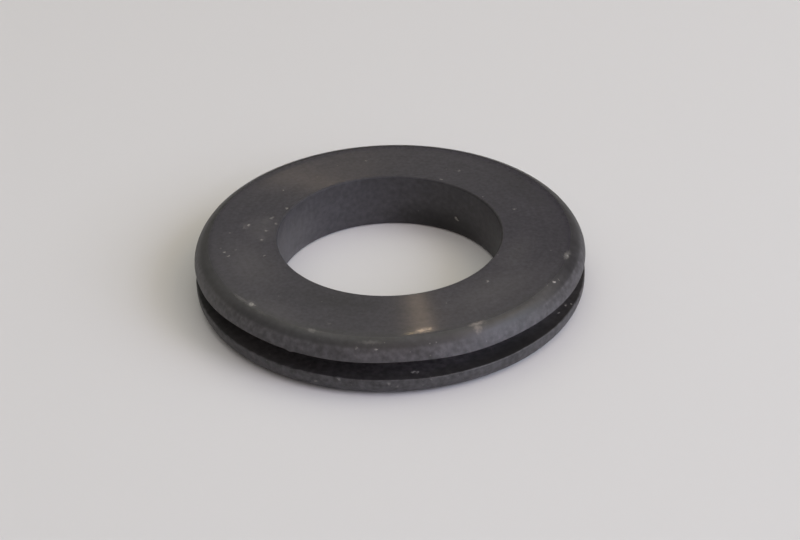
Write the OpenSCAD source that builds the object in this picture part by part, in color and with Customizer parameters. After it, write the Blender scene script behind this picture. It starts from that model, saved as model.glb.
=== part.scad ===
// Rubber panel grommet: a moulded ring with a flange on each side of a panel groove.
// It lies flat. The origin is at the middle of the underside, and +Z runs up the bore.
// All sizes are in millimetres.

/* [Ring] */
// Diameter over the flanges
flange_d = 33.3; // [29.5:0.1:45]
// Diameter of the bore that the cable passes through
bore_d = 19.05; // [10:0.05:22]

/* [Flanges] */
// Thickness of the upper flange
upper_flange_t = 1.65; // [1:0.05:4]
// Thickness of the lower flange
lower_flange_t = 1.65; // [1:0.05:4]

/* [Panel groove] */
// Diameter at the foot of the groove, which is the panel's hole
groove_d = 25.4; // [24.5:0.1:28]
// Width of the groove, which takes the panel's thickness
groove_w = 1.7; // [0.8:0.05:4]
// Radius in the corners at the foot of the groove
groove_root_r = 0.3; // [0.05:0.05:0.8]

/* [Edges] */
// Least upright land that a shoulder leaves at its flange's rim
rim_land = 0.05; // [0.05:0.05:0.5]
// Width and height of the rounded shoulder on the upper flange
upper_shoulder = 1.6; // [0.2:0.05:4]
// Slope at which the upper shoulder leaves the flat face, in degrees
upper_shoulder_slope = 6; // [1:0.5:20]
// Width and height of the rounded shoulder on the lower flange
lower_shoulder = 1.15; // [0.2:0.05:4]
// Slope at which the lower shoulder leaves the flat face, in degrees
lower_shoulder_slope = 2; // [1:0.5:20]
// Rounding where the bore opens on the upper face
upper_bore_round = 0.2; // [0.05:0.05:1]
// Rounding where the bore opens on the underside
lower_bore_round = 0.4; // [0.05:0.05:1]

/* [Hidden] */
$fn = 180;
// Colour of the rubber
rubber_black = "#3d3c3e";
// How far a cutting shape runs past the face that it cuts
over = 1;

flange_r = flange_d / 2;
bore_r = bore_d / 2;
groove_r = groove_d / 2;
// Heights above the underside of the groove's two walls and of the upper face
groove_floor_z = lower_flange_t;
groove_roof_z = groove_floor_z + groove_w;
ring_h = groove_roof_z + upper_flange_t;
// Thickness of the neck between the bore and the groove, and the flanges' reach past it
neck_t = groove_r - bore_r;
overhang = flange_r - groove_r;

// A shoulder is limited by its flange's thickness, less the land, and by its flange's reach
upper_shoulder_s = min(upper_shoulder, upper_flange_t - rim_land, overhang);
lower_shoulder_s = min(lower_shoulder, lower_flange_t - rim_land, overhang);
// A corner radius in the groove is limited to a third of the groove's width and of its depth
root_r = min(groove_root_r, groove_w / 3, overhang / 3);
// A rounding at the bore's mouth is limited by the flange and the neck
upper_round_r = min(upper_bore_round, upper_flange_t / 2, neck_t / 2);
lower_round_r = min(lower_bore_round, lower_flange_t / 2, neck_t / 2);

// What a rounding of size s takes off a corner that points to +X +Y from the origin.
// Its arc meets both faces at the same slope, and at a slope of 0 it is a plain quarter circle.
module corner_waste(s, slope = 0) {
    arc_r = s / (cos(slope) - sin(slope));
    inset = arc_r * cos(slope);
    translate([-inset, -inset]) difference() {
        square(inset + over);
        circle(r = arc_r);
    }
}

// Section of the panel groove, with round corners at its foot.
module groove_space() {
    difference() {
        translate([groove_r, groove_floor_z]) square([overhang + over, groove_w]);
        translate([groove_r, groove_floor_z]) rotate(180) corner_waste(root_r);
        translate([groove_r, groove_roof_z]) mirror([1, 0]) corner_waste(root_r);
    }
}

// Section of the ring to the right of its axis, standing on the X axis.
module ring_section() {
    difference() {
        translate([bore_r, 0]) square([flange_r - bore_r, ring_h]);
        groove_space();
        translate([flange_r, ring_h]) corner_waste(upper_shoulder_s, upper_shoulder_slope);
        translate([flange_r, 0]) mirror([0, 1]) corner_waste(lower_shoulder_s, lower_shoulder_slope);
        translate([bore_r, ring_h]) mirror([1, 0]) corner_waste(upper_round_r);
        translate([bore_r, 0]) rotate(180) corner_waste(lower_round_r);
    }
}

// The whole moulding.
module grommet() {
    color(rubber_black) rotate_extrude() ring_section();
}

grommet();
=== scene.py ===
"""Looks of a moulded rubber panel grommet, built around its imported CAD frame.

Blender works in metres in the CAD frame: the grommet lies on z = 0 with +Z up its bore.
Sizes in this file are in millimetres and degrees, and each builder turns them to metres.
An azimuth is measured about +Z from +X, so the near side of the ring is at -90 degrees.
"""

import logging
import math
from dataclasses import dataclass
from enum import Enum
from typing import Any

import bpy
from mathutils import Matrix, Vector


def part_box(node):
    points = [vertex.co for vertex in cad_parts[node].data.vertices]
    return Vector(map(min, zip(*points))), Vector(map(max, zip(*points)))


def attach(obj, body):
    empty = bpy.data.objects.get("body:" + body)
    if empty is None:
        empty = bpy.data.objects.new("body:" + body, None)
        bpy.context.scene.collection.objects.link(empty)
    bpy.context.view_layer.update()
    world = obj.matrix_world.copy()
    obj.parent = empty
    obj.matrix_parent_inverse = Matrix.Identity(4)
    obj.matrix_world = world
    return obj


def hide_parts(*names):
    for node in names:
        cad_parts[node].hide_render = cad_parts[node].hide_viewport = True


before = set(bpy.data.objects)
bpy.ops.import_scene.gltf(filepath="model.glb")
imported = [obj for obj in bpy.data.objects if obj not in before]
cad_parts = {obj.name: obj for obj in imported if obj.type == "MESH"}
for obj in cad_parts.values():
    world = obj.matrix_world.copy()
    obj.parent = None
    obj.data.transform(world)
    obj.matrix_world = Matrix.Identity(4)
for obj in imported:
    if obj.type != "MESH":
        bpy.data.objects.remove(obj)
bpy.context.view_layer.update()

MM = 0.001
NODE = "grommet"
BODY = "root"

RUBBER_IOR = 1.5
QUARTER_TURN = 0.25
# Pale colour of the dust, and of the painted glints and painted light that share it.
DUST_AND_GLINT_COLOUR = "#b9b6b0"
PALE_SMEAR = "#c9bdb0"
# Colour of painted shade, which holds the tone down where the studio's lamps leave the rubber too bright.
SHADE_COLOUR = "#050505"

# Numbers of a Map Range node's sockets, since others of its sockets have the same names.
FROM_MIN, FROM_MAX, TO_MIN, TO_MAX = 1, 2, 3, 4

# A noise stays mostly between these two values, on either side of its middle.
NOISE_LOW = 0.3
NOISE_MIDDLE = 0.5
NOISE_HIGH = 0.7

# Width of the teeth on a mark's ragged edge, and the swing that they have, in millimetres.
RAGGED_WIDTH = 0.25
RAGGED_SWING = 0.45

# How deep a mark's colour goes, in millimetres: a flat one takes no notice of the height, and an
# upright one must not show through to the far side of the ring.
FLAT_DEPTH = 500.0
UPRIGHT_DEPTH = 2.5

Tree = bpy.types.NodeTree
Socket = bpy.types.NodeSocket
Colour = tuple[float, float, float, float]
Outline = list[tuple[float, float]]
logger = logging.getLogger("grommet")


# ---------------------------------------------------------------- shared helpers


def linear(hex_colour: str) -> Colour:
    """Turns an sRGB hex colour to linear light.

    Args:
        hex_colour: the colour as "#rrggbb".

    Returns:
        Red, green and blue in linear light, and an alpha of 1.
    """
    channels = [int(hex_colour[i : i + 2], 16) / 255 for i in (1, 3, 5)]
    red, green, blue = (c / 12.92 if c <= 0.04045 else ((c + 0.055) / 1.055) ** 2.4 for c in channels)
    return red, green, blue, 1.0


def add_node(tree: Tree, kind: str, inputs: dict[str | int, Any], **settings: Any) -> bpy.types.Node:
    """Adds a node with its settings, its values and its links.

    Args:
        tree: the tree that gets the node.
        kind: the node's type name.
        inputs: what each input holds, by name or number: a socket is linked, any other value is set.
        **settings: properties of the node itself, such as its operation.

    Returns:
        The new node.
    """
    node = tree.nodes.new(kind)
    for name, value in settings.items():
        setattr(node, name, value)
    for key, value in inputs.items():
        if isinstance(value, Socket):
            tree.links.new(value, node.inputs[key])
        else:
            node.inputs[key].default_value = value
    return node


def polar(azimuth: float, radius: float, height: float) -> Vector:
    """Gives the point at an azimuth in degrees, and a radius and a height in one unit of length."""
    angle = math.radians(azimuth)
    return Vector((radius * math.cos(angle), radius * math.sin(angle), height))


def smoothstep(value: float) -> float:
    """Runs smoothly from 0 at a value of 0 to 1 at a value of 1."""
    held = min(1.0, max(0.0, value))
    return held * held * (3 - 2 * held)


# ---------------------------------------------------------------- the ring's section


class Region(Enum):
    """Surfaces of the moulding that came off differently finished parts of the mould."""

    FACE = "turned_face"
    SHOULDER = "satin_shoulder"
    GROOVE = "groove"
    LOWER_RIM = "lower_rim"
    UNDERSIDE = "underside"
    BORE = "bore"


@dataclass(frozen=True)
class RingSection:
    """The ring's radii and heights in millimetres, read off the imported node.

    Attributes:
        flange_r: radius over the flanges, at its least over the node's facets.
        bore_r: radius of the bore.
        groove_r: radius at the foot of the groove.
        height: height of the ring.
        floor_z: height of the groove's lower wall.
        roof_z: height of the groove's upper wall.
        root_r: radius in the corners at the groove's foot.
        crease_r: radius at which the upper shoulder leaves the flat face.
        foot_r: radius at which the lower shoulder leaves the underside.
        upper_land_z: height at which the upper shoulder meets the rim.
        lower_land_z: height at which the lower shoulder meets the rim.
        upper_mouth_r: radius at which the bore's upper rounding meets the face.
        lower_mouth_r: radius at which the bore's lower rounding meets the underside.
    """

    flange_r: float
    bore_r: float
    groove_r: float
    height: float
    floor_z: float
    roof_z: float
    root_r: float
    crease_r: float
    foot_r: float
    upper_land_z: float
    lower_land_z: float
    upper_mouth_r: float
    lower_mouth_r: float

    @classmethod
    def measured(cls, node: bpy.types.Object) -> "RingSection":
        """Reads the section off the corners of a node's mesh.

        Args:
            node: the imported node, whose mesh holds its place.

        Returns:
            The section.
        """
        points = [(math.hypot(v.co.x, v.co.y) / MM, v.co.z / MM) for v in node.data.vertices]
        slack = 1e-3
        widest_r = max(r for r, _ in points)
        bore_r = min(r for r, _ in points)
        height = max(z for _, z in points)
        rim = [z for r, z in points if r > widest_r - slack]
        upper_rim = [z for z in rim if z > height / 2]
        lower_rim = [z for z in rim if z < height / 2]
        top = [r for r, z in points if z > height - slack]
        bottom = [r for r, z in points if z < slack]
        floor_z, roof_z = max(lower_rim), min(upper_rim)
        neck = [r for r, z in points if floor_z + slack < z < roof_z - slack and r > bore_r + slack]
        groove_r = min(neck)
        foot = [z for r, z in points if abs(r - groove_r) < slack and floor_z - slack < z < roof_z + slack]
        return cls(
            flange_r=min(abs(corner[axis]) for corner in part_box(NODE) for axis in (0, 1)) / MM,
            bore_r=bore_r,
            groove_r=groove_r,
            height=height,
            floor_z=floor_z,
            roof_z=roof_z,
            root_r=min(foot) - floor_z,
            crease_r=max(top),
            foot_r=max(bottom),
            upper_land_z=max(upper_rim),
            lower_land_z=min(lower_rim),
            upper_mouth_r=min(top),
            lower_mouth_r=min(bottom),
        )


@dataclass(frozen=True)
class Wave:
    """One ripple that runs round an edge.

    Attributes:
        count: how many crests it has in a turn.
        size: half its height, in millimetres.
        crest: azimuth of a crest, in degrees.
    """

    count: int
    size: float
    crest: float

    def at(self, azimuth: float) -> float:
        """Gives the ripple's height in millimetres at an azimuth in degrees."""
        return self.size * math.cos(math.radians(self.count * (azimuth - self.crest)))


@dataclass(frozen=True)
class Tag:
    """A little tag of flash left on an edge by the mould's parting line.

    Attributes:
        azimuth: where it is, in degrees.
        reach: how far it stands off the edge, in millimetres.
        width: half its width, in degrees.
    """

    azimuth: float
    reach: float
    width: float

    def at(self, azimuth: float) -> float:
        """Gives how far the tag stands off the edge, in millimetres, at an azimuth in degrees."""
        away = (azimuth - self.azimuth + 180) % 360 - 180
        return self.reach * math.exp(-((away / self.width) ** 2))


@dataclass(frozen=True)
class GrommetBody:
    """The whole moulding, as one closed mesh turned about +Z from its section.

    Attributes:
        section: the radii and heights that it is built on.
        roll_reach: how far inside the crease the face begins to roll over, in millimetres.
        roll_slope: slope at which the roll runs into the shoulder, in degrees.
        roll_steps: how many steps there are in the roll.
        rim_round: radius on the lower flange's upper edge, in millimetres.
        shoulder_slope: slope at which the upper shoulder leaves the face, in degrees.
        foot_slope: slope at which the lower shoulder leaves the underside, in degrees.
        turn_steps: how many stations there are in a turn.
        flat_step: longest step along a straight stretch of the section, in millimetres.
        arc_step: longest turn between two points of a round stretch, in degrees.
        support: distance of the loops that hold the shading beside a round edge, in millimetres.
        upper_waves: how the lower edge of the upper flange wanders.
        lower_waves: how the upper edge of the lower flange wanders.
        upper_tags: flash on the lower edge of the upper flange.
        lower_tags: flash on the upper edge of the lower flange.
        wave_reach: height over which the wander dies out on the outside, in millimetres.
        tag_reach: height over which a tag dies out on the outside, in millimetres.
        tag_depth: how far in from the rim a tag goes, in millimetres.
    """

    section: RingSection
    roll_reach: float = 0.85
    roll_slope: float = 16.0
    roll_steps: int = 12
    rim_round: float = 0.08
    shoulder_slope: float = 6.0
    foot_slope: float = 2.0
    turn_steps: int = 500
    flat_step: float = 0.4
    arc_step: float = 7.0
    support: float = 0.03
    upper_waves: tuple[Wave, ...] = (Wave(8, 0.055, -88), Wave(5, 0.03, -128), Wave(13, 0.015, -84))
    lower_waves: tuple[Wave, ...] = (Wave(7, 0.02, -100), Wave(17, 0.015, -90))
    upper_tags: tuple[Tag, ...] = (Tag(-119, -0.13, 0.8),)
    lower_tags: tuple[Tag, ...] = (Tag(-105, 0.11, 0.6), Tag(-116, 0.07, 0.8), Tag(-128, 0.05, 0.7))
    wave_reach: float = 0.9
    tag_reach: float = 0.25
    tag_depth: float = 0.4

    def line(self, start: tuple[float, float], end: tuple[float, float]) -> Outline:
        """Gives a straight stretch with support loops near its ends.

        Args:
            start: radius and height where it starts.
            end: radius and height where it ends.

        Returns:
            The points between the two, neither of them included.
        """
        length = math.dist(start, end)
        inner = length - 2 * self.support
        steps = max(1, math.ceil(inner / self.flat_step))
        along = [(self.support + inner * i / steps) / length for i in range(steps + 1)]
        return [(start[0] + (end[0] - start[0]) * t, start[1] + (end[1] - start[1]) * t) for t in along]

    def arc(self, centre: tuple[float, float], radius: float, start: float, end: float) -> Outline:
        """Gives a round stretch, both ends included.

        Args:
            centre: radius and height of its centre.
            radius: its own radius.
            start: direction from the centre to its first point, in degrees.
            end: direction from the centre to its last point, in degrees.

        Returns:
            The points along it.
        """
        steps = max(2, math.ceil(abs(end - start) / self.arc_step))
        angles = [math.radians(start + (end - start) * i / steps) for i in range(steps + 1)]
        return [(centre[0] + radius * math.cos(a), centre[1] + radius * math.sin(a)) for a in angles]

    def shoulder_arc(self, start_r: float, slope: float) -> tuple[float, float]:
        """Gives the size and place of the arc that a shoulder follows.

        Args:
            start_r: radius at which the shoulder leaves the flat face.
            slope: slope at which it leaves the face, in degrees.

        Returns:
            The arc's radius, and how far its centre lies in from the rim and from the face, in millimetres.
        """
        angle = math.radians(slope)
        radius = (self.section.flange_r - start_r) / (math.cos(angle) - math.sin(angle))
        return radius, radius * math.cos(angle)

    def upper_shoulder(self) -> tuple[Outline, Outline]:
        """Gives the soft roll at the edge of the face, and the shoulder that runs from it down to the rim.

        Returns:
            The points of the roll, which starts level with the face, and the points of the shoulder.
        """
        s = self.section
        radius, inset = self.shoulder_arc(s.crease_r, self.shoulder_slope)
        middle = (s.flange_r - inset, s.height - inset)
        shoulder = self.arc(middle, radius, 90 - self.roll_slope, self.shoulder_slope)
        # The roll bends ever faster towards the shoulder, which it meets at the shoulder's own slope.
        start = (s.crease_r - self.roll_reach, s.height)
        end = shoulder[0]
        corner = (end[0] - (s.height - end[1]) / math.tan(math.radians(self.roll_slope)), s.height)
        roll = []
        for i in range(self.roll_steps + 1):
            t = i / self.roll_steps
            weights = ((1 - t) ** 2, 2 * t * (1 - t), t * t)
            pulls = list(zip(weights, (start, corner, end)))
            roll.append((sum(w * r for w, (r, _) in pulls), sum(w * z for w, (_, z) in pulls)))
        return roll, shoulder[1:]

    def lower_shoulder(self) -> Outline:
        """Gives the shoulder that runs from the lower flange's rim to the underside.

        Returns:
            The points of the shoulder.
        """
        radius, inset = self.shoulder_arc(self.section.foot_r, self.foot_slope)
        middle = (self.section.flange_r - inset, inset)
        return self.arc(middle, radius, -self.foot_slope, -90 + self.foot_slope)

    def outline(self) -> list[tuple[Region, Outline]]:
        """Gives the closed section as stretches that follow each other round it.

        Returns:
            Each stretch's region and points, from the bore's upper mouth outwards and round to the bore.
        """
        s = self.section
        land = s.upper_land_z - s.roof_z
        roll, shoulder = self.upper_shoulder()
        upper_round = s.upper_mouth_r - s.bore_r
        lower_round = s.lower_mouth_r - s.bore_r
        root_x = s.groove_r + s.root_r
        upper_mouth = (s.upper_mouth_r, s.height - upper_round)
        lower_mouth = (s.lower_mouth_r, lower_round)
        face = self.line((s.upper_mouth_r, s.height), roll[0])
        upper_edge = self.arc((s.flange_r - land, s.upper_land_z), land, 0, -90)
        roof = self.line((s.flange_r - land, s.roof_z), (root_x, s.roof_z))
        upper_root = self.arc((root_x, s.roof_z - s.root_r), s.root_r, 90, 180)
        neck = self.line((s.groove_r, s.roof_z - s.root_r), (s.groove_r, s.floor_z + s.root_r))
        lower_root = self.arc((root_x, s.floor_z + s.root_r), s.root_r, 180, 270)
        edge_x = s.flange_r - self.rim_round
        floor = self.line((root_x, s.floor_z), (edge_x, s.floor_z))
        lower_edge = self.arc((edge_x, s.floor_z - self.rim_round), self.rim_round, 90, 0)
        rim = self.line((s.flange_r, s.floor_z - self.rim_round), (s.flange_r, s.lower_land_z))
        underside = self.line((s.foot_r, 0), (s.lower_mouth_r, 0))
        bore = self.line((s.bore_r, lower_round), (s.bore_r, s.height - upper_round))
        return [
            (Region.FACE, face + roll),
            (Region.SHOULDER, shoulder + upper_edge[1:]),
            (Region.GROOVE, roof + upper_root + neck + lower_root + floor),
            (Region.LOWER_RIM, lower_edge + rim + self.lower_shoulder()),
            (Region.UNDERSIDE, underside),
            (Region.BORE, self.arc(lower_mouth, lower_round, 270, 180) + bore),
            (Region.BORE, self.arc(upper_mouth, upper_round, 180, 90)),
        ]

    def wander(self, radius: float, height: float, azimuth: float) -> float:
        """Gives how far a point of the section is shifted along Z by the edges' wander.

        Args:
            radius: the point's radius, in millimetres.
            height: the point's height, in millimetres.
            azimuth: the station's azimuth, in degrees.

        Returns:
            The shift, in millimetres.
        """
        s = self.section
        outward = (radius - s.groove_r) / (s.flange_r - s.groove_r)
        if outward <= 0:
            return 0.0
        upper = height > (s.floor_z + s.roof_z) / 2
        edge_z = s.roof_z if upper else s.floor_z
        waves = self.upper_waves if upper else self.lower_waves
        tags = self.upper_tags if upper else self.lower_tags
        away = abs(height - edge_z)
        fade = smoothstep(1 - away / self.wave_reach) * smoothstep(outward)
        tip = smoothstep(1 - away / self.tag_reach) * smoothstep(1 - (s.flange_r - radius) / self.tag_depth)
        return fade * sum(w.at(azimuth) for w in waves) + tip * sum(t.at(azimuth) for t in tags)

    def build(self, finishes: dict[Region, bpy.types.Material]) -> bpy.types.Object:
        """Turns the section about +Z into the moulding's mesh.

        Args:
            finishes: the material of each region.

        Returns:
            The new object, linked to the scene.
        """
        regions = list(finishes)
        stretches = self.outline()
        section = [(region, point) for region, points in stretches for point in points]
        count = len(section)
        vertices = []
        for station in range(self.turn_steps):
            azimuth = 360 * station / self.turn_steps
            for _, (radius, height) in section:
                lifted = height + self.wander(radius, height, azimuth)
                vertices.append(polar(azimuth, radius * MM, lifted * MM))
        faces = []
        for station in range(self.turn_steps):
            here, there = station * count, (station + 1) % self.turn_steps * count
            faces += [
                (here + i, here + (i + 1) % count, there + (i + 1) % count, there + i) for i in range(count)
            ]
        mesh = bpy.data.meshes.new("moulding")
        mesh.from_pydata(vertices, [], faces)
        for material in finishes.values():
            mesh.materials.append(material)
        slots = [regions.index(section[(i + 1) % count][0]) for i in range(count)]
        mesh.polygons.foreach_set("material_index", slots * self.turn_steps)
        mesh.shade_smooth()
        mesh.validate()
        piece = bpy.data.objects.new("grommet_moulding", mesh)
        bpy.context.scene.collection.objects.link(piece)
        return piece


# ---------------------------------------------------------------- finishes


class Along(Enum):
    """What a change of finish follows over the moulding."""

    HEIGHT = "height"
    RADIUS = "radius"


@dataclass(frozen=True)
class Zone:
    """A change of finish, or of painted light and shade, over part of the moulding.

    Attributes:
        along: what it follows.
        none: height or radius at which it begins, in millimetres.
        whole: height or radius from which it is whole, in millimetres.
        shade: what it multiplies the colour by.
        roughness: what it adds to the roughness.
        grain: what it adds to the grain's contrast.
    """

    along: Along
    none: float
    whole: float
    shade: float = 1.0
    roughness: float = 0.0
    grain: float = 0.0

    def build(self, tree: Tree, ways: dict[Along, Socket]) -> Socket:
        """Adds the zone to a material.

        Args:
            tree: the material's tree.
            ways: the place on the moulding along each way, in metres.

        Returns:
            How far the zone's changes hold at that place.
        """
        across = {"Value": ways[self.along], FROM_MIN: self.none * MM, FROM_MAX: self.whole * MM}
        return add_node(tree, "ShaderNodeMapRange", across, interpolation_type="SMOOTHSTEP").outputs[0]


class Lie(Enum):
    """How the surface under a mark lies."""

    FLAT = "flat"
    UPRIGHT = "upright"


@dataclass(frozen=True)
class Mark:
    """A speck of dust, a scuff, a patch of haze, a painted glint, painted light or a patch of painted shade
    on the rubber.

    Attributes:
        azimuth: where its middle is, in degrees.
        place: radius of its middle on a flat surface, or its height on an upright one, in millimetres.
        length: how far it reaches each way round the ring, in millimetres.
        width: how far it reaches each way across that, in millimetres.
        strength: how far its middle covers the rubber, where 1 hides it.
        colour: its sRGB colour.
        turn: turn on its surface, in degrees.
        lie: how the surface under it lies.
    """

    azimuth: float
    place: float
    length: float
    width: float
    strength: float
    colour: str = DUST_AND_GLINT_COLOUR
    turn: float = 0.0
    lie: Lie = Lie.FLAT

    def build(self, tree: Tree, spot: Socket, wall: float) -> Socket:
        """Adds the mark to a material.

        Args:
            tree: the material's tree.
            spot: the place on the moulding, in metres.
            wall: radius of the upright surface that the material covers, in millimetres.

        Returns:
            How far the mark covers the rubber at that place.
        """
        if self.lie is Lie.FLAT:
            middle = polar(self.azimuth, self.place * MM, 0.0)
            turn = (0.0, 0.0, math.radians(self.azimuth + self.turn))
            reach = (self.width, self.length, FLAT_DEPTH)
        else:
            middle = polar(self.azimuth, wall * MM, self.place * MM)
            turn = (math.radians(self.turn), 0.0, math.radians(self.azimuth))
            reach = (UPRIGHT_DEPTH, self.length, self.width)
        own = {"Vector": spot, "Location": middle, "Rotation": turn, "Scale": [size * MM for size in reach]}
        local = add_node(tree, "ShaderNodeMapping", own, vector_type="TEXTURE")
        away = add_node(tree, "ShaderNodeVectorMath", {0: local.outputs[0]}, operation="LENGTH")
        fading = {"Value": away.outputs["Value"], TO_MIN: self.strength, TO_MAX: 0.0}
        return add_node(tree, "ShaderNodeMapRange", fading, interpolation_type="SMOOTHSTEP").outputs[0]


@dataclass(frozen=True)
class Dust:
    """Fine dust strewn over the rubber.

    Attributes:
        spacing: mean distance between grains, in millimetres.
        size: radius of the largest grain, in millimetres.
        strength: how far a grain covers the rubber.
    """

    spacing: float
    size: float
    strength: float

    def build(self, tree: Tree, spot: Socket) -> Socket:
        """Adds the dust to a material.

        Args:
            tree: the material's tree.
            spot: the place on the moulding, in metres.

        Returns:
            How far the dust covers the rubber at that place.
        """
        cells = add_node(tree, "ShaderNodeTexVoronoi", {"Vector": spot, "Scale": 1 / (self.spacing * MM)})
        chance = add_node(tree, "ShaderNodeSeparateColor", {0: cells.outputs["Color"]}).outputs[0]
        # Most grains are small: the cube of an even random number sets each one's size.
        size = add_node(tree, "ShaderNodeMath", {0: chance, 1: 3.0}, operation="POWER").outputs[0]
        largest = self.size / self.spacing
        reach = add_node(tree, "ShaderNodeMath", {0: size, 1: largest}, operation="MULTIPLY").outputs[0]
        fading = {"Value": cells.outputs["Distance"], FROM_MAX: reach, TO_MIN: self.strength, TO_MAX: 0.0}
        return add_node(tree, "ShaderNodeMapRange", fading, interpolation_type="SMOOTHSTEP").outputs[0]


ZonePart = tuple[Zone, Socket]
Pattern = tuple[Socket, Socket | float]


@dataclass(frozen=True)
class RubberFinish:
    """Moulded black rubber, as one part of the mould left it.

    Attributes:
        name: name of the material.
        colour: sRGB colour of the compound.
        roughness: mean roughness.
        gloss: strength of its gloss, where 0.5 is that of its index of refraction.
        anisotropy: how far the mould's turning marks stretch its gloss.
        mottle: width of the cloudy patches, in millimetres.
        mottle_contrast: how far the patches lighten and darken the colour.
        grain: width of the grain, in millimetres.
        grain_contrast: how far the grain lightens and darkens the colour.
        grain_depth: depth of the grain, in millimetres.
        ring_pitch: distance between turning marks, in millimetres, or 0 for none.
        ring_contrast: how far the turning marks lighten and darken the colour.
        zones: changes of finish, and of painted light and shade, over part of it.
        dust: the fine dust on it.
        marks: the specks, scuffs and haze on it, and its painted glints, painted light and painted shade.
    """

    name: str
    colour: str
    roughness: float
    gloss: float = 0.5
    anisotropy: float = 0.0
    mottle: float = 1.4
    mottle_contrast: float = 0.08
    grain: float = 0.45
    grain_contrast: float = 0.15
    grain_depth: float = 0.004
    ring_pitch: float = 0.0
    ring_contrast: float = 0.0
    zones: tuple[Zone, ...] = ()
    dust: tuple[Dust, ...] = ()
    marks: tuple[Mark, ...] = ()

    def covered(self, tree: Tree, spot: Socket, rubber: Socket, wall: float) -> Socket:
        """Lays the dust and the marks over the rubber's colour.

        Args:
            tree: the material's tree.
            spot: the place on the moulding, in metres.
            rubber: the rubber's own colour.
            wall: radius of the upright surface that the material covers, in millimetres.

        Returns:
            The colour with what lies on it.
        """
        # A fine noise pushes the place about, which gives every mark a ragged edge.
        teeth = {"Vector": spot, "Scale": 1 / (RAGGED_WIDTH * MM), "Detail": 1.0}
        ragged = add_node(tree, "ShaderNodeTexNoise", teeth)
        push = {0: ragged.outputs["Color"], 1: (NOISE_MIDDLE,) * 3}
        centred = add_node(tree, "ShaderNodeVectorMath", push, operation="SUBTRACT")
        pushed = {0: centred.outputs[0], 1: (RAGGED_SWING * MM,) * 3, 2: spot}
        place = add_node(tree, "ShaderNodeVectorMath", pushed, operation="MULTIPLY_ADD").outputs[0]
        layers = [(DUST_AND_GLINT_COLOUR, dust.build(tree, spot)) for dust in self.dust]
        layers += [(mark.colour, mark.build(tree, place, wall)) for mark in self.marks]
        colour = rubber
        # The painted shade lies under the dust.
        for own in sorted(dict.fromkeys(name for name, _ in layers), key=lambda name: name != SHADE_COLOUR):
            cover, *others = [layer for name, layer in layers if name == own]
            for layer in others:
                cover = add_node(tree, "ShaderNodeMath", {0: cover, 1: layer}, operation="MAXIMUM").outputs[0]
            mixed = add_node(tree, "ShaderNodeMixRGB", {"Fac": cover, 1: colour, 2: linear(own)})
            colour = mixed.outputs[0]
        return colour

    def patterns(
        self, tree: Tree, spot: Socket, ways: dict[Along, Socket], grain: Socket, parts: list[ZonePart]
    ) -> list[Pattern]:
        """Adds the cloudy patches, the grain and the turning marks to a material.

        Args:
            tree: the material's tree.
            spot: the place on the moulding, in metres.
            ways: that place along each way, in metres.
            grain: the grain's noise.
            parts: the zones, and how far each one's changes hold at that place.

        Returns:
            Each pattern's noise, and how far it lightens and darkens the colour.
        """
        soft = {"Vector": spot, "Scale": 1 / (self.mottle * MM), "Detail": 4.0, "Roughness": 0.6}
        mottle = add_node(tree, "ShaderNodeTexNoise", soft).outputs[0]
        patterns = [(mottle, self.mottle_contrast), (grain, self.grain_contrast)]
        if self.ring_pitch:
            turned = {"W": ways[Along.RADIUS], "Scale": 1 / (self.ring_pitch * MM), "Detail": 2.0}
            rings = add_node(tree, "ShaderNodeTexNoise", turned, noise_dimensions="1D")
            patterns.append((rings.outputs[0], self.ring_contrast))
        for zone, part in parts:
            if zone.grain:
                scaled = add_node(tree, "ShaderNodeMath", {0: part, 1: zone.grain}, operation="MULTIPLY")
                patterns.append((grain, scaled.outputs[0]))
        return patterns

    def shaded(self, tree: Tree, parts: list[ZonePart], patterns: list[Pattern]) -> Socket:
        """Colours the compound by the zones and the patterns.

        Args:
            tree: the material's tree.
            parts: the zones, and how far each one's changes hold.
            patterns: each pattern's noise, and how far it lightens and darkens the colour.

        Returns:
            The rubber's own colour.
        """
        shades = []
        for zone, part in parts:
            faded = {"Value": part, TO_MIN: 1.0, TO_MAX: zone.shade}
            shades.append(add_node(tree, "ShaderNodeMapRange", faded).outputs[0])
        for noise, contrast in patterns:
            spread = {"Value": noise, FROM_MIN: NOISE_LOW, FROM_MAX: NOISE_HIGH, TO_MIN: -1.0, TO_MAX: 1.0}
            swing = add_node(tree, "ShaderNodeMapRange", spread).outputs[0]
            change = {0: swing, 1: contrast, 2: 1.0}
            shades.append(add_node(tree, "ShaderNodeMath", change, operation="MULTIPLY_ADD").outputs[0])
        shade, *others = shades
        for other in others:
            shade = add_node(tree, "ShaderNodeMath", {0: shade, 1: other}, operation="MULTIPLY").outputs[0]
        compound = {0: linear(self.colour)[:3], "Scale": shade}
        return add_node(tree, "ShaderNodeVectorMath", compound, operation="SCALE").outputs[0]

    def roughened(self, tree: Tree, parts: list[ZonePart]) -> Socket | float:
        """Adds the zones' changes to the mean roughness.

        Args:
            tree: the material's tree.
            parts: the zones, and how far each one's changes hold.

        Returns:
            The roughness, which is a plain number where no zone changes it.
        """
        roughness = self.roughness
        for zone, part in parts:
            if zone.roughness:
                change = {0: part, 1: zone.roughness, 2: roughness}
                roughness = add_node(tree, "ShaderNodeMath", change, operation="MULTIPLY_ADD").outputs[0]
        return roughness

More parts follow.
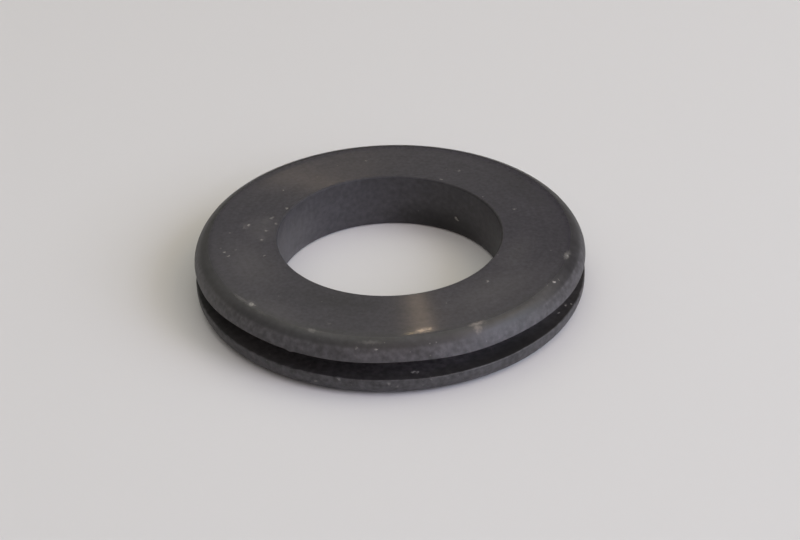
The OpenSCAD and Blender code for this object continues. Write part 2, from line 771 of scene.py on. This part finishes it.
    def build(self, wall: float) -> bpy.types.Material:
        """Makes the material.

        Args:
            wall: radius of the upright surface that it covers, in millimetres.

        Returns:
            The new material.
        """
        material = bpy.data.materials.new(self.name)
        material.use_nodes = True
        tree = material.node_tree
        tree.nodes.clear()
        spot = add_node(tree, "ShaderNodeTexCoord", {}).outputs["Object"]
        flat = add_node(tree, "ShaderNodeVectorMath", {0: spot, 1: (1, 1, 0)}, operation="MULTIPLY")
        radius = add_node(tree, "ShaderNodeVectorMath", {0: flat.outputs[0]}, operation="LENGTH")
        height = add_node(tree, "ShaderNodeSeparateXYZ", {0: spot})
        ways = {Along.HEIGHT: height.outputs["Z"], Along.RADIUS: radius.outputs["Value"]}
        parts = [(zone, zone.build(tree, ways)) for zone in self.zones]
        fine = {"Vector": spot, "Scale": 1 / (self.grain * MM), "Detail": 3.0}
        grain = add_node(tree, "ShaderNodeTexNoise", fine).outputs[0]
        rubber = self.shaded(tree, parts, self.patterns(tree, spot, ways, grain, parts))
        relief = {"Strength": 1.0, "Distance": self.grain_depth * MM, "Height": grain}
        surface = {
            "Base Color": self.covered(tree, spot, rubber, wall) if self.dust or self.marks else rubber,
            "Roughness": self.roughened(tree, parts),
            "IOR": RUBBER_IOR,
            "Specular IOR Level": self.gloss,
            "Normal": add_node(tree, "ShaderNodeBump", relief).outputs[0],
            "Anisotropic": self.anisotropy,
        }
        if self.anisotropy:
            # The turning marks run round the axis, and a quarter of a turn spreads the gloss across them.
            round_axis = add_node(tree, "ShaderNodeTangent", {}, direction_type="RADIAL", axis="Z")
            surface["Tangent"] = round_axis.outputs[0]
            surface["Anisotropic Rotation"] = QUARTER_TURN
        shader = add_node(tree, "ShaderNodeBsdfPrincipled", surface)
        add_node(tree, "ShaderNodeOutputMaterial", {"Surface": shader.outputs[0]})
        return material


# Broad soft patches: the pale ones are faint haze, the dark ones painted shade that holds the tone down.
FACE_HAZE_AND_SHADE = (
    Mark(-160, 12.6, 7.0, 3.6, 0.05),
    Mark(-132, 14.3, 5.0, 1.8, 0.03),
    Mark(-48, 12.6, 8.0, 3.4, 0.045),
    Mark(-22, 11.2, 5.0, 2.2, 0.032),
    Mark(174, 11.0, 3.6, 2.4, 0.045),
    Mark(167, 10.9, 1.3, 0.9, 0.06),
    Mark(-179, 10.8, 1.2, 0.9, 0.06),
    Mark(172, 12.4, 1.1, 0.5, 0.07, turn=20),
    Mark(174, 10.7, 0.7, 0.45, 0.07),
    Mark(-170, 14.0, 0.7, 0.5, 0.05),
    Mark(-103, 14.95, 9.0, 0.5, 0.1, SHADE_COLOUR),
    Mark(135, 13.2, 3.6, 2.0, 0.014),
    Mark(100, 12.0, 4.5, 1.6, 0.008),
    Mark(-111, 11.0, 5.5, 2.2, 0.27, SHADE_COLOUR),
    # Two small patches of painted shade break up the lamp's streak.
    Mark(-76, 12.2, 0.8, 0.35, 0.25, SHADE_COLOUR, turn=15),
    Mark(-80, 13.5, 0.7, 0.3, 0.2, SHADE_COLOUR, turn=-10),
    Mark(30, 14.0, 9.0, 2.2, 0.14, SHADE_COLOUR),
)
# Specks of dust on the flat of the face.
FACE_SPECKS = (
    Mark(-170.5, 14.05, 0.2, 0.18, 0.47),
    Mark(-167.5, 13.8, 0.19, 0.19, 0.41),
    Mark(-171, 13.1, 0.24, 0.18, 0.18),
    Mark(-173, 14.3, 0.14, 0.14, 0.2),
    Mark(-177, 10.85, 0.24, 0.2, 0.43),
    Mark(-163.5, 10.9, 0.19, 0.17, 0.27),
    Mark(171, 12.2, 0.24, 0.22, 0.54),
    Mark(173, 12.5, 0.42, 0.18, 0.16),
    Mark(175, 10.5, 0.26, 0.22, 0.3),
    Mark(177, 13.6, 0.17, 0.14, 0.27),
    Mark(163.5, 10.55, 0.36, 0.24, 0.27),
    Mark(168.5, 9.95, 0.24, 0.19, 0.27),
    Mark(153, 9.95, 0.2, 0.2, 0.43),
    Mark(140.5, 12.05, 0.17, 0.17, 0.24),
    Mark(99, 12.65, 0.17, 0.17, 0.19),
    Mark(58, 12.05, 0.19, 0.19, 0.22),
    Mark(61.5, 9.95, 0.22, 0.19, 0.24),
    Mark(34, 9.95, 0.19, 0.19, 0.24),
    Mark(17, 11.35, 0.22, 0.19, 0.32),
    Mark(-45, 11.2, 0.2, 0.2, 0.35),
    Mark(-110, 14.2, 0.3, 0.2, 0.07),
)
# Along the crease, on both the face and the shoulder: dust, a pale smear, painted glints of lamps, and
# painted shade.
CREASE_MARKS = (
    # Painted glints of lamps on the crease, with their soft pale spread.
    Mark(-137.2, 15.15, 0.42, 0.28, 0.5),
    Mark(-137.5, 15.1, 1.0, 0.5, 0.1),
    Mark(-141.5, 15.25, 1.7, 0.26, 0.1),
    Mark(-132, 15.4, 1.0, 0.2, 0.05),
    Mark(-114, 15.4, 0.5, 0.3, 0.14),
    # A painted glint of a lamp.
    Mark(-96, 15.8, 1.3, 0.22, 0.09),
    Mark(-94.2, 16.25, 0.2, 0.1, 0.45),
    Mark(-152, 16.2, 6.0, 0.9, 0.02),
    Mark(-99.5, 16.2, 0.2, 0.1, 0.2),
    Mark(-31.3, 15.65, 0.24, 0.18, 0.75),
    Mark(-34.5, 15.5, 0.13, 0.12, 0.3),
    Mark(-29, 15.75, 0.13, 0.12, 0.3),
    # A painted glint of a lamp.
    Mark(-16.3, 15.3, 1.0, 0.35, 0.22),
    Mark(-16.5, 15.35, 0.28, 0.2, 0.42),
    Mark(-64, 15.4, 1.0, 0.28, 0.22, PALE_SMEAR),
    Mark(-64.5, 15.75, 0.5, 0.5, 0.2, PALE_SMEAR),
    Mark(-36, 15.6, 4.0, 0.6, 0.05),
    # Painted shade along the crease.
    Mark(-96, 15.75, 6.5, 0.7, 0.4, SHADE_COLOUR),
    Mark(-59, 16.0, 3.8, 0.65, 0.42, SHADE_COLOUR),
)
# Dust caught in the groove, then a stretch of painted light and one of painted shade.
GROOVE_MARKS = (
    Mark(-83.9, 15.65, 0.26, 0.22, 0.75),
    Mark(-82.8, 15.7, 0.18, 0.17, 0.6),
    Mark(-29.9, 15.9, 0.17, 0.15, 0.7),
    Mark(-25.2, 15.95, 0.17, 0.15, 0.75),
    Mark(-23.9, 16.3, 0.14, 0.13, 0.5),
    Mark(-128, 15.9, 0.2, 0.15, 0.12),
    Mark(-136, 15.9, 8.0, 2.5, 0.025),
    Mark(-52, 15.9, 10.0, 2.5, 0.6, SHADE_COLOUR),
)
# A stretch of the lower rim darkened as painted shade, then the scuffs on it.
RIM_MARKS = (
    Mark(-150, 1.0, 7.0, 2.0, 0.14, SHADE_COLOUR, lie=Lie.UPRIGHT),
    Mark(-104.7, 1.55, 0.22, 0.13, 0.3, lie=Lie.UPRIGHT),
    Mark(-111.5, 1.0, 0.24, 0.15, 0.22, lie=Lie.UPRIGHT),
    Mark(-91.1, 1.4, 0.22, 0.15, 0.22, lie=Lie.UPRIGHT),
    Mark(-88.7, 1.05, 0.2, 0.15, 0.2, lie=Lie.UPRIGHT),
    Mark(-79.7, 1.45, 0.2, 0.12, 0.16, lie=Lie.UPRIGHT),
)
# A short fibre on the bore; pale haze, part dust and part painted light from the floor; and painted shade.
BORE_MARKS = (
    Mark(51, 1.7, 0.38, 0.14, 0.85, turn=38, lie=Lie.UPRIGHT),
    Mark(150, 1.8, 5.0, 3.0, 0.04, lie=Lie.UPRIGHT),
    Mark(153, 0.4, 3.5, 1.2, 0.07, lie=Lie.UPRIGHT),
    Mark(60, 0.7, 10.0, 2.6, 0.7, SHADE_COLOUR, lie=Lie.UPRIGHT),
)


def rubber_finishes(section: RingSection) -> dict[Region, bpy.types.Material]:
    """Makes the material of each region of the moulding.

    Args:
        section: the ring's section.

    Returns:
        The materials, by region.
    """
    # Real grain and turning marks are finer than these, which are as coarse as they need to be to show.
    finishes = {
        # Pressed against a turned steel plate: fine rings draw a lamp's gloss out into a radial streak,
        # and a more polished edge lets it glint at the crease.
        Region.FACE: RubberFinish(
            "rubber_turned_mould_face",
            "#3a383e",
            0.18,
            anisotropy=1.0,
            grain=0.3,
            grain_depth=0.0003,
            ring_pitch=0.5,
            ring_contrast=0.04,
            zones=(
                # The roll at the edge of the face is darkened as painted shade.
                Zone(Along.RADIUS, 14.9, 15.35, shade=0.82),
                Zone(Along.RADIUS, 14.45, 14.7, roughness=-0.06),
            ),
            dust=(Dust(0.9, 0.13, 0.2),),
            marks=FACE_HAZE_AND_SHADE + FACE_SPECKS + CREASE_MARKS,
        ),
        # Polished crease above a coarse-grained ground rim: painted shade darkens the crease, the rim is
        # lighter and rougher.
        Region.SHOULDER: RubberFinish(
            "rubber_satin_shoulder",
            "#343335",
            0.3,
            anisotropy=0.8,
            grain_contrast=0.2,
            zones=(
                Zone(Along.HEIGHT, 4.86, 4.62, shade=0.85, roughness=0.1),
                Zone(Along.HEIGHT, 4.52, 4.28, shade=2.0, roughness=0.12, grain=0.2),
                Zone(Along.HEIGHT, 4.2, 3.7, shade=1.1),
            ),
            dust=(Dust(0.5, 0.1, 0.22),),
            marks=CREASE_MARKS,
        ),
        # As moulded and seldom touched: dull, with painted light deep at the foot and painted shade at the
        # lip.
        Region.GROOVE: RubberFinish(
            "rubber_matt_groove",
            "#5a5759",
            0.65,
            grain_contrast=0.45,
            zones=(Zone(Along.RADIUS, 13.8, 16.4, shade=0.2),),
            dust=(Dust(0.5, 0.09, 0.2),),
            marks=GROOVE_MARKS,
        ),
        # The coarsest grain, from a spark-eroded part of the mould.
        Region.LOWER_RIM: RubberFinish(
            "rubber_grained_rim",
            "#3f3e40",
            0.55,
            grain_contrast=0.5,
            grain_depth=0.01,
            dust=(Dust(0.4, 0.09, 0.25),),
            marks=RIM_MARKS,
        ),
        # Pressed against a duller turned plate: an even satin, with faint cloudy patches and no streak.
        Region.UNDERSIDE: RubberFinish("rubber_turned_underside", "#38373a", 0.4),
        # A ground core pin leaves a soft satin sheen, and painted shade darkens the upper edge.
        Region.BORE: RubberFinish(
            "rubber_satin_bore",
            "#3e3d40",
            0.45,
            gloss=0.38,
            grain_contrast=0.22,
            zones=(Zone(Along.HEIGHT, 4.78, 4.88, shade=0.8, roughness=0.3),),
            dust=(Dust(0.9, 0.1, 0.15),),
            marks=BORE_MARKS,
        ),
    }
    walls = {Region.LOWER_RIM: section.flange_r}
    return {region: finish.build(walls.get(region, section.bore_r)) for region, finish in finishes.items()}


# ---------------------------------------------------------------- studio


@dataclass(frozen=True)
class PaleFloor:
    """A plain pale sheet under the grommet, wide enough to fill the view.

    Attributes:
        size: length of its sides, in millimetres.
        colour: its sRGB colour.
        roughness: its roughness.
    """

    size: float = 3000.0
    colour: str = "#d2d3d4"
    roughness: float = 0.7

    def build(self) -> bpy.types.Object:
        """Makes the floor.

        Returns:
            The new object, linked to the scene.
        """
        half = self.size / 2 * MM
        mesh = bpy.data.meshes.new("floor")
        corners = [(-half, -half, 0), (half, -half, 0), (half, half, 0), (-half, half, 0)]
        mesh.from_pydata(corners, [], [(0, 1, 2, 3)])
        material = bpy.data.materials.new("matt_board")
        material.use_nodes = True
        tree = material.node_tree
        tree.nodes.clear()
        board = {"Base Color": linear(self.colour), "Roughness": self.roughness}
        shader = add_node(tree, "ShaderNodeBsdfPrincipled", board)
        add_node(tree, "ShaderNodeOutputMaterial", {"Surface": shader.outputs[0]})
        mesh.materials.append(material)
        floor = bpy.data.objects.new("floor", mesh)
        bpy.context.scene.collection.objects.link(floor)
        return floor


@dataclass(frozen=True)
class SoftLamp:
    """A rectangular lamp that faces the grommet.

    Attributes:
        name: its name.
        azimuth: direction to it about +Z, in degrees.
        elevation: direction to it above the floor, in degrees.
        width: apparent width from the grommet, in degrees.
        height: apparent height from the grommet, in degrees.
        level: light that it gives to a surface facing it, where 1 shows a colour as written.
        colour: its sRGB colour.
        distance: how far it stands from the grommet, in millimetres.
    """

    name: str
    azimuth: float
    elevation: float
    width: float
    height: float
    level: float
    colour: str
    distance: float = 1500.0

    def build(self) -> bpy.types.Object:
        """Makes the lamp.

        Returns:
            The new object, linked to the scene.
        """
        reach = self.distance * MM
        rise = math.radians(self.elevation)
        data = bpy.data.lights.new(self.name, "AREA")
        data.shape = "RECTANGLE"
        data.size = 2 * reach * math.tan(math.radians(self.width / 2))
        data.size_y = 2 * reach * math.tan(math.radians(self.height / 2))
        # At a distance d a lamp of power P gives an irradiance of P / (pi * d * d), and an irradiance
        # of pi shows a colour as written.
        data.energy = self.level * math.pi * math.pi * reach * reach
        data.color = linear(self.colour)[:3]
        lamp = bpy.data.objects.new(self.name, data)
        lamp.location = polar(self.azimuth, reach * math.cos(rise), reach * math.sin(rise))
        lamp.rotation_euler = (-lamp.location).to_track_quat("-Z", "Y").to_euler()
        bpy.context.scene.collection.objects.link(lamp)
        return lamp


@dataclass(frozen=True)
class Glow:
    """A soft round patch of light on the walls or the ceiling.

    Attributes:
        azimuth: direction to its middle about +Z, in degrees.
        elevation: direction to its middle above the floor, in degrees.
        core: angle from its middle within which it is even, in degrees.
        fade: angle over which it then dies away, in degrees.
        level: how bright its middle is, where 1 lights a surface as written from all round.
        colour: its sRGB colour.
    """

    azimuth: float
    elevation: float
    core: float
    fade: float
    level: float
    colour: str = "#ffffff"

    def build(self, tree: Tree, way: Socket) -> Socket:
        """Adds the glow to a world.

        Args:
            tree: the world's tree.
            way: the direction that is looked in.

        Returns:
            The light that comes from that direction.
        """
        rise = math.radians(self.elevation)
        axis = polar(self.azimuth, math.cos(rise), math.sin(rise))
        facing = add_node(tree, "ShaderNodeVectorMath", {0: way, 1: axis}, operation="DOT_PRODUCT")
        edge, even = (math.cos(math.radians(angle)) for angle in (self.core + self.fade, self.core))
        across = {"Value": facing.outputs["Value"], FROM_MIN: edge, FROM_MAX: even}
        part = add_node(tree, "ShaderNodeMapRange", across, interpolation_type="SMOOTHSTEP")
        light = [self.level * channel for channel in linear(self.colour)[:3]]
        shine = {0: light, "Scale": part.outputs[0]}
        return add_node(tree, "ShaderNodeVectorMath", shine, operation="SCALE").outputs[0]


@dataclass(frozen=True)
class Surround:
    """Light that reaches the grommet from the walls and the ceiling round it.

    Attributes:
        level: brightness of the walls where there is no glow.
        colour: sRGB colour of that light.
        backdrop: sRGB colour of the backdrop behind the floor, which gives no light.
        glows: the patches that are brighter.
    """

    level: float = 0.087
    colour: str = "#fffae0"
    backdrop: str = "#cfcdcc"
    glows: tuple[Glow, ...] = (
        Glow(120, 38, 12, 24, 0.177, "#fcfff9"),
        Glow(165, 40, 18, 34, 0.2),
        Glow(90, 65, 12, 26, 0.46, "#ffffdc"),
        Glow(-90, 82, 15, 30, 0.69),
        Glow(-72, 46, 18, 30, 0.54, "#ffe0dc"),
    )

    def build(self) -> bpy.types.World:
        """Makes the world and gives it to the scene.

        Returns:
            The world.
        """
        world = bpy.data.worlds.new("walls_and_ceiling")
        world.use_nodes = True
        tree = world.node_tree
        tree.nodes.clear()
        way = add_node(tree, "ShaderNodeTexCoord", {}).outputs["Generated"]
        total = [self.level * channel for channel in linear(self.colour)[:3]]
        for glow in self.glows:
            both = {0: total, 1: glow.build(tree, way)}
            total = add_node(tree, "ShaderNodeVectorMath", both, operation="ADD").outputs[0]
        seen = add_node(tree, "ShaderNodeLightPath", {}).outputs["Is Camera Ray"]
        shown = {"Fac": seen, 1: total, 2: linear(self.backdrop)}
        backdrop = add_node(tree, "ShaderNodeMixRGB", shown).outputs[0]
        sky = add_node(tree, "ShaderNodeBackground", {"Color": backdrop})
        add_node(tree, "ShaderNodeOutputWorld", {"Surface": sky.outputs[0]})
        bpy.context.scene.world = world
        return world


@dataclass(frozen=True)
class Studio:
    """The plain light round the grommet.

    Attributes:
        surround: light from the walls and the ceiling.
        lamps: the lamps.
    """

    surround: Surround = Surround()
    lamps: tuple[SoftLamp, ...] = (
        SoftLamp("window_1", -30, 30, 20, 32, 0.405, "#e3e3fb", 700),
        SoftLamp("window_2", -10, 30, 20, 32, 0.225, "#dae8fb", 700),
        SoftLamp("window_3", 10, 30, 20, 32, 0.103, "#fff9f4", 700),
        SoftLamp("high_window", -5, 55, 40, 20, 0.131, "#ffedd0", 700),
        SoftLamp("low_window", -50, 22, 36, 24, 0.155, "#d8e4fc"),
        SoftLamp("ceiling_1", 121, 63, 3, 3, 0.006, "#fff6e8"),
        SoftLamp("ceiling_2", -140, 81, 3, 3, 0.006, "#fff6e8"),
        SoftLamp("spot_lamp", 88.26, 40.1, 0.6, 0.6, 0.0044, "#ffe0bc"),
        SoftLamp("crease_lamp", 88.6, 46.0, 0.6, 0.6, 0.0017, "#ffe0a8"),
    )

    def build(self) -> list[bpy.types.Object]:
        """Makes the surround and the lamps.

        Returns:
            The lamps.
        """
        self.surround.build()
        return [lamp.build() for lamp in self.lamps]


@dataclass(frozen=True)
class StudioCamera:
    """The camera, aimed at a point close to the grommet's middle.

    Attributes:
        lens: focal length, in millimetres.
        sensor: width of the sensor, in millimetres.
        near: distance from which it sees things, in millimetres.
        elevation: height of its view above the floor, in degrees.
        distance: distance to the point that it looks at, in millimetres.
        aim: the point that it looks at, in millimetres.
        roll: turn about its own view, in degrees.
    """

    lens: float = 81.97
    sensor: float = 36.0
    near: float = 10.0
    elevation: float = 32.9
    distance: float = 157.5
    aim: tuple[float, float, float] = (0.82, 0.54, 0.84)
    roll: float = -1.655

    def build(self) -> bpy.types.Object:
        """Makes the camera and gives it to the scene.

        Returns:
            The camera.
        """
        rise = math.radians(self.elevation)
        back = Vector((0, -math.cos(rise), math.sin(rise)))
        data = bpy.data.cameras.new("camera")
        data.lens = self.lens
        data.sensor_width = self.sensor
        data.clip_start = self.near * MM
        camera = bpy.data.objects.new("camera", data)
        turn = (-back).to_track_quat("-Z", "Y").to_matrix().to_4x4()
        spot = Matrix.Translation((Vector(self.aim) + back * self.distance) * MM)
        camera.matrix_world = spot @ turn @ Matrix.Rotation(math.radians(self.roll), 4, "Z")
        bpy.context.scene.collection.objects.link(camera)
        bpy.context.scene.camera = camera
        return camera


def main() -> None:
    """Builds the grommet and its studio in order, and reports each piece."""
    logging.basicConfig(level=logging.INFO, format="%(message)s")
    bpy.context.scene.view_settings.view_transform = "Standard"

    section = RingSection.measured(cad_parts[NODE])
    moulding = GrommetBody(section).build(rubber_finishes(section))
    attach(moulding, BODY)
    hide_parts(NODE)
    logger.info("%s: %d faces", moulding.name, len(moulding.data.polygons))

    floor = PaleFloor().build()
    lamps = Studio().build()
    camera = StudioCamera().build()
    logger.info("%s, %s, %d lamps", floor.name, camera.name, len(lamps))


if __name__ == "__main__":
    main()
